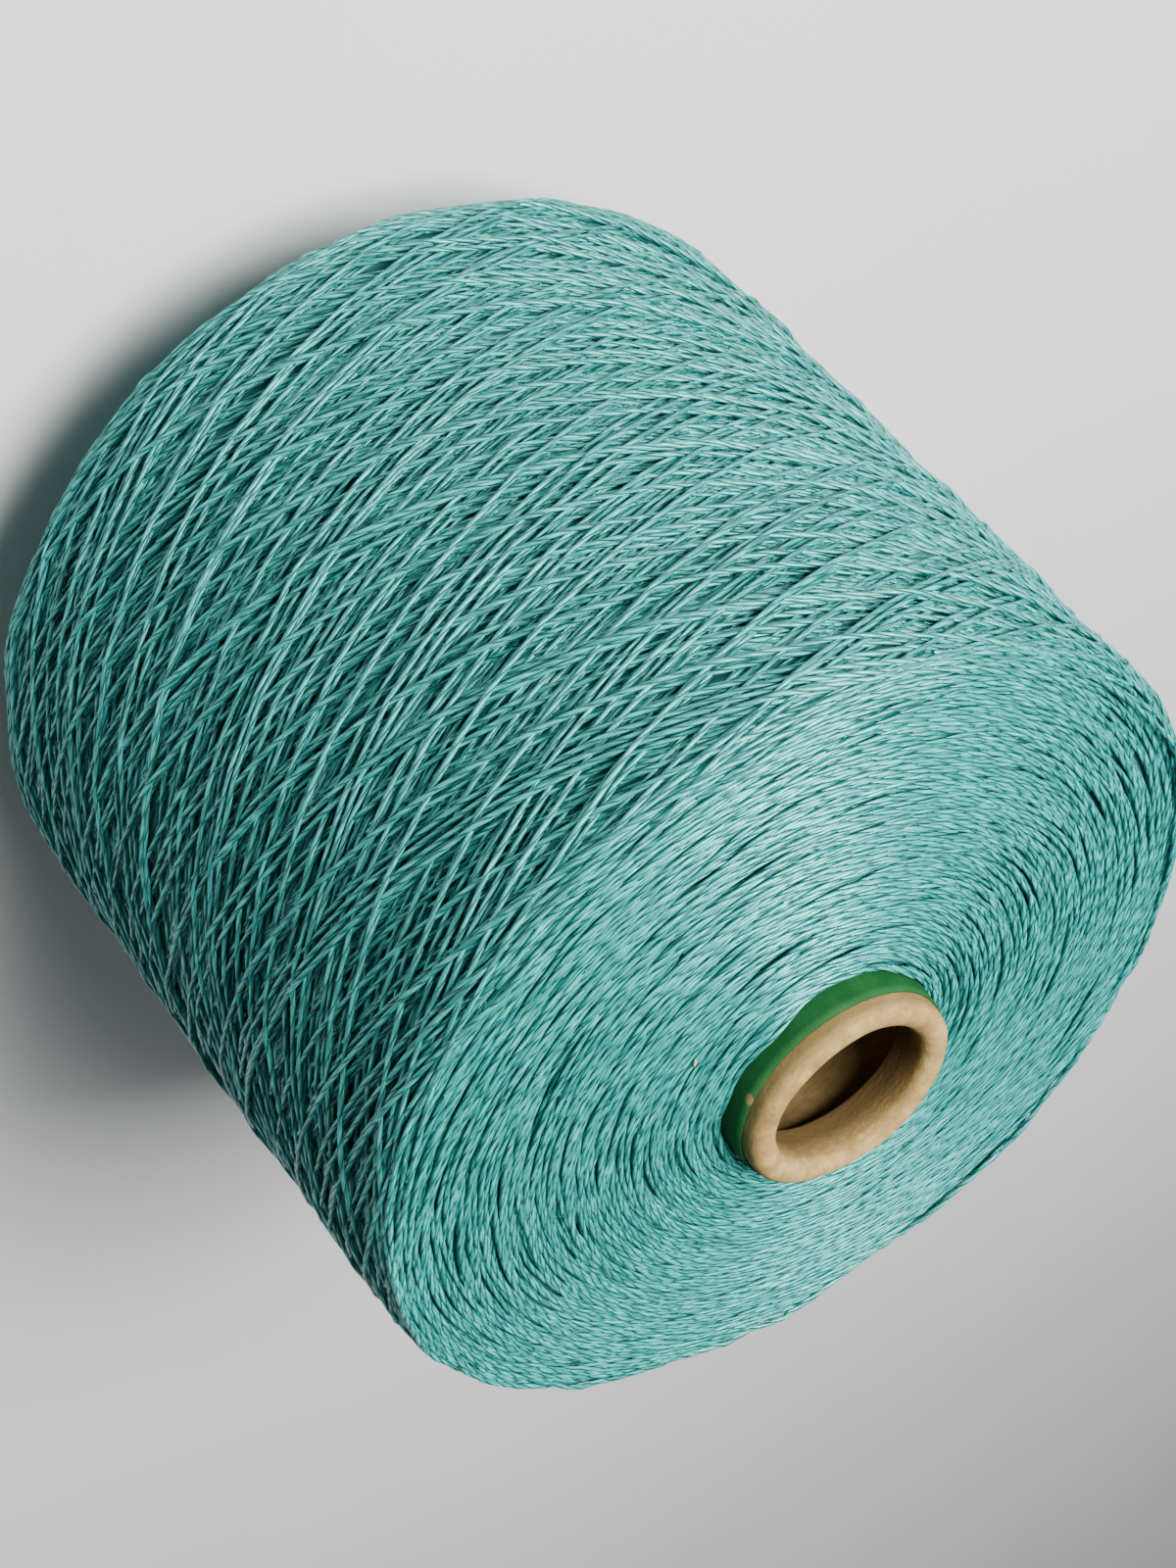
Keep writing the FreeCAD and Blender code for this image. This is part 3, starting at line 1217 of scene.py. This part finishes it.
@dataclass
class TransferTail:
    """The first turns of the yarn, bunched on the cone's bare base."""

    form: PackageForm
    yarn: YarnSizes
    turns: int = 11
    steps: int = 150  # in a turn
    sway: float = 0.12 * MM
    stack: float = 0.75 * MM  # how far the second layer lies outside the first
    seed: int = 5

    def build(self, sweeper: StrandSweep, finish: bpy.types.Material) -> bpy.types.Object:
        """Wind the bunch as one helix with a second, shorter layer on it.

        Args:
            sweeper: The tree that sweeps strands.
            finish: The yarn's material.

        Returns:
            The bunch.
        """
        low, high = (corner[2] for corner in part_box("transfer_tail"))
        first, last = low + self.yarn.radius, high - self.yarn.radius
        rng = np.random.default_rng(self.seed)
        turn = np.arange(self.turns * self.steps + 1) / self.steps
        lower = min(self.turns - 1, round((last - first) / (1.02 * self.yarn.radius)))
        share = np.interp(turn, (0, lower, self.turns), (0.0, 1.0, 0.3))
        stray = rng.normal(0, self.sway, self.turns + 1)
        sway = self.sway * np.sin(turn * 2.3) + np.interp(turn, np.arange(self.turns + 1), stray)
        z = np.clip(first + (last - first) * share + sway, first, last)
        stacked = np.clip((turn - lower) * 3, 0, 1) * self.stack
        radius = self.form.tube(z) + self.yarn.radius * 0.85 + stacked
        angle = turn * TURN
        strands = Strands()
        strands.add(np.stack((radius * np.cos(angle), radius * np.sin(angle), z), axis=1))
        return sweeper.sweep("transfer_tail_yarn", strands, self.yarn.radius * 0.9, 8, finish)


@dataclass
class StrawFleck:
    """A sliver of straw caught in the yarn of the nose's face."""

    form: PackageForm
    radius: float = 33.1 * MM
    angle: float = -63.35  # degrees
    turned: float = 24.0  # degrees from the yarn's way
    length: float = 1.7 * MM
    width: float = 0.46 * MM
    thickness: float = 0.20 * MM
    lift: float = 0.02 * MM

    def build(self, finish: bpy.types.Material) -> bpy.types.Object:
        """Make the sliver, thin at both ends.

        Args:
            finish: The straw's material.

        Returns:
            The sliver.
        """
        spot, way = math.radians(self.angle), math.radians(self.angle + 90 + self.turned)
        along = np.array([math.cos(way), math.sin(way), 0.0])
        across = np.array([-math.sin(way), math.cos(way), 0.0])
        up = np.array([0.0, 0.0, 1.0])
        height = self.form.face(End.NOSE, self.radius) + self.lift
        middle = np.array([self.radius * math.cos(spot), self.radius * math.sin(spot), height])
        points = []
        for share, size in ((-0.5, 0.25), (-0.3, 0.9), (0.1, 1.0), (0.5, 0.35)):
            for side, rise in ((-1, -1), (1, -1), (1, 1), (-1, 1)):
                spread = across * side * size * self.width / 2 + up * rise * size * self.thickness / 2
                points.append(middle + along * share * self.length + spread)
        faces = [(3, 2, 1, 0), (12, 13, 14, 15)]
        for first in (0, 4, 8):
            for k in range(4):
                after = (k + 1) % 4
                faces.append((first + k, first + after, first + 4 + after, first + 4 + k))
        return mesh_object("straw_fleck", np.array(points), np.array(faces), finish)


# ----------------------------------------------------------------------------------- the paper cone


@dataclass
class PaperCone:
    """Kraft board cone with its turned-in nose, and the green ply over it."""

    form: PackageForm
    kraft_wall: float = 2.4 * MM
    cover_wall: float = 0.4 * MM
    lip_radius: float = 14.5 * MM
    lip_depth: float = 9.0 * MM
    lip_edge: float = 0.8 * MM
    foot_edge: float = 0.4 * MM
    dent: float = 0.10 * MM
    nose_band: float = 12 * MM  # depth over which the dents grow towards the rim
    rim_band: float = 3 * MM  # depth in which the rim also waves up and down
    seam_angle: float = 2.2  # radians
    seam_width: float = 0.05
    kraft_step: float = 1.6 * MM
    cover_step: float = 1.5 * MM
    around: int = 288

    def outside(self, z: float) -> float:
        """Radius of the kraft's outside at a height."""
        return self.form.tube(z) - self.cover_wall

    def _kraft_outline(self) -> np.ndarray:
        """Draw the board's half-section: an outside, a rolled rim, a turned-in lip and an inside.

        Returns:
            Its points, anticlockwise from the base's outer edge.
        """
        tip, foot = self.form.cone_tip, self.form.cone_foot
        slope = math.atan(self.form.slope)
        flat = self.outside(tip) - self.lip_radius
        roll = flat * math.cos(slope) / (1 + math.cos(slope) - math.sin(slope))
        lip_foot = tip - self.lip_depth
        inner_lip, inner_foot = (self.outside(z) - self.kraft_wall for z in (lip_foot, foot))
        outline: Outline = [(self.outside(foot), foot)]
        outline += arc_points((self.lip_radius + roll, tip - roll), roll, math.degrees(slope), 180, 22)
        edge = self.lip_edge
        outline += arc_points((self.lip_radius + edge, lip_foot + edge), edge, 180, 270, 6)
        outline += [(inner_lip, lip_foot)]
        edge = self.foot_edge
        outline += arc_points((inner_foot + edge, foot + edge), edge, 180, 270, 4)
        return divided(outline, self.kraft_step)

    def _cover_outline(self) -> np.ndarray:
        """Draw the green ply's half-section.

        Returns:
            Its points, anticlockwise from the base's inner edge.
        """
        low, high = self.form.cover_low, self.form.cover_high
        gap = 0.02 * MM
        outline = [(self.outside(low) + gap, low), (self.form.tube(low), low)]
        outline += [(self.form.tube(high), high), (self.outside(high) + gap, high)]
        return divided(outline, self.cover_step)

    def _turn(self, name: str, outline: np.ndarray, finish: bpy.types.Material) -> bpy.types.Object:
        """Turn an outline, with the slight dents and the blank's overlap seam of a wound board.

        Args:
            name: The piece's name.
            outline: Its half-section.
            finish: Its material.

        Returns:
            The piece.
        """
        angles = np.linspace(0, TURN, self.around, endpoint=False)
        radius, z = (np.repeat(outline[:, i:i + 1], self.around, axis=1) for i in (0, 1))
        wave = np.sin(3 * angles + 0.7) * 0.5 + np.sin(5 * angles + 2.1 + z * 30) * 0.3
        wave = wave + np.sin(11 * angles + 4.0 + z * 90) * 0.2
        from_seam = (angles - self.seam_angle - z * 4 + math.pi) % TURN - math.pi
        seam = np.exp(-(from_seam / self.seam_width) ** 2)
        tip = self.form.cone_tip
        upper = np.clip((z - (tip - self.nose_band)) / self.nose_band, 0, 1)
        radius = radius + self.dent * (wave * (0.6 + upper) + seam)
        lift = upper * self.dent * 1.2 * np.sin(4 * angles + 1.0) * (z > tip - self.rim_band)
        place = np.stack((radius * np.cos(angles), radius * np.sin(angles), z + lift), axis=-1)
        return mesh_object(name, place.reshape(-1, 3), turned_faces(len(outline), self.around), finish)

    def build(self, board: bpy.types.Material, paper: bpy.types.Material) -> list[bpy.types.Object]:
        """Make the board cone and its cover.

        Args:
            board: The kraft's material.
            paper: The green paper's material.

        Returns:
            The board cone, then the cover.
        """
        return [self._turn("kraft_board_cone", self._kraft_outline(), board),
                self._turn("green_cover", self._cover_outline(), paper)]


# --------------------------------------------------------------------------------------- the studio


@dataclass
class Studio:
    """Floor, soft lights and the camera."""

    floor_half: float = 12.0
    aim: float = 90.0 * MM  # height of the point that the lamp faces
    lamp_way: Place = (-0.417, -0.350, 0.839)
    lamp_distance: float = 0.85
    lamp_size: float = 0.45
    lamp_power: float = 27.0
    lamp_colour: Colour = (1.0, 0.99, 0.97)
    sky_colour: Colour = (0.93, 0.97, 1.0)
    sky_strength: float = 0.19
    back: float = 317.6 * MM  # camera's distance from the cone's axis
    height: float = 331.6 * MM
    look_down: float = 37.76  # degrees
    pan: float = 0.17
    roll: float = 138.9
    sensor: float = 36.0  # millimetres
    lens: float = 49.93

    def floor(self, finish: bpy.types.Material) -> None:
        """Lay the pale floor that the cone stands on.

        Args:
            finish: The floor's material.
        """
        corners = ((-1, -1, 0), (1, -1, 0), (1, 1, 0), (-1, 1, 0))
        points = np.array(corners, dtype=float) * self.floor_half
        mesh_object("floor", points, np.array([[0, 1, 2, 3]]), finish)

    def camera(self) -> None:
        """Set the camera before and above the nose, rolled round its line of sight."""
        data = bpy.data.cameras.new("camera")
        data.sensor_width = self.sensor
        data.lens = self.lens
        camera = bpy.data.objects.new("camera", data)
        turn = (Matrix.Rotation(math.radians(self.pan), 4, "Z")
                @ Matrix.Rotation(math.radians(90 - self.look_down), 4, "X")
                @ Matrix.Rotation(math.radians(self.roll), 4, "Z"))
        camera.matrix_world = Matrix.Translation((0, -self.back, self.height)) @ turn
        bpy.context.collection.objects.link(camera)
        bpy.context.scene.camera = camera

    def lamp(self) -> None:
        """Hang one soft square lamp that faces the object."""
        data = bpy.data.lights.new("window", "AREA")
        data.size = self.lamp_size
        data.energy = self.lamp_power
        data.color = self.lamp_colour
        lamp = bpy.data.objects.new("window", data)
        way = Vector(self.lamp_way).normalized()
        lamp.location = Vector((0, 0, self.aim)) + way * self.lamp_distance
        lamp.rotation_mode = "QUATERNION"
        lamp.rotation_quaternion = way.to_track_quat("Z", "Y")
        bpy.context.collection.objects.link(lamp)

    def sky(self) -> None:
        """Light everything faintly from all round."""
        world = bpy.data.worlds.new("soft_room")
        world.use_nodes = True
        background = world.node_tree.nodes["Background"]
        background.inputs["Color"].default_value = (*self.sky_colour, 1.0)
        background.inputs["Strength"].default_value = self.sky_strength
        bpy.context.scene.world = world

    def build(self) -> None:
        """Set up the whole studio."""
        pale = PlainFinish("pale_floor", (0.57, 0.58, 0.59), (0.65, 0.65, 0.645), scale=9.0, relief=0.2 * MM)
        self.floor(pale.make())
        self.camera()
        self.lamp()
        self.sky()


# ------------------------------------------------------------------------------------------- making


def seat(pieces: Sequence[bpy.types.Object], node: str) -> None:
    """Ride pieces on the one body, in place of a CAD node.

    Args:
        pieces: The pieces.
        node: The CAD node that they stand for.
    """
    for piece in pieces:
        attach(piece, "root")
        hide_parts(node)
        log.info("%s stands for %s", piece.name, node)


def main() -> None:
    """Build the yarn cone and its studio."""
    logging.basicConfig(level=logging.INFO, format="%(name)s: %(message)s")
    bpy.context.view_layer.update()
    form, yarn = PackageForm(), YarnSizes()
    Studio().build()
    yarn_finish = YarnFinish().make()
    # painted shade: a darker copy of the same yarn, for the crossed turns of the side
    wraps_painted_shade_look = YarnFinish("teal_yarn_wraps_painted_shade", deep=(0.001, 0.036, 0.037), middle=(0.009, 0.160, 0.150))
    wraps_painted_shade_finish = wraps_painted_shade_look.make()
    sweeper = StrandSweep()
    wraps = LastWraps(form, yarn)
    wraps.lay()
    seat([WoundCore(form, wraps.floor_outline()).build(BuriedYarnFinish().make())], "yarn_body")
    seat(wraps.build(sweeper, wraps_painted_shade_finish), "outer_wraps")
    seat(EndFace(form, yarn, End.NOSE, 21).build(sweeper, yarn_finish, 2), "yarn_body")
    seat(EndFace(form, yarn, End.BASE, 22).build(sweeper, yarn_finish, 2), "yarn_body")
    seat([TransferTail(form, yarn).build(sweeper, yarn_finish)], "transfer_tail")
    straw = PlainFinish("pale_straw", (0.42, 0.30, 0.12), (0.62, 0.47, 0.24), scale=2500.0, relief=0.05 * MM)
    seat([StrawFleck(form).build(straw.make())], "yarn_body")
    cone = PaperCone(form)
    kraft = KraftFinish(form.cone_tip, cone.outside(form.cone_tip), form.slope)
    board, cover = cone.build(kraft.make(), CoverPaperFinish().make())
    seat([board], "kraft_cone")
    seat([cover], "cover_ply")


if __name__ == "__main__":
    main()
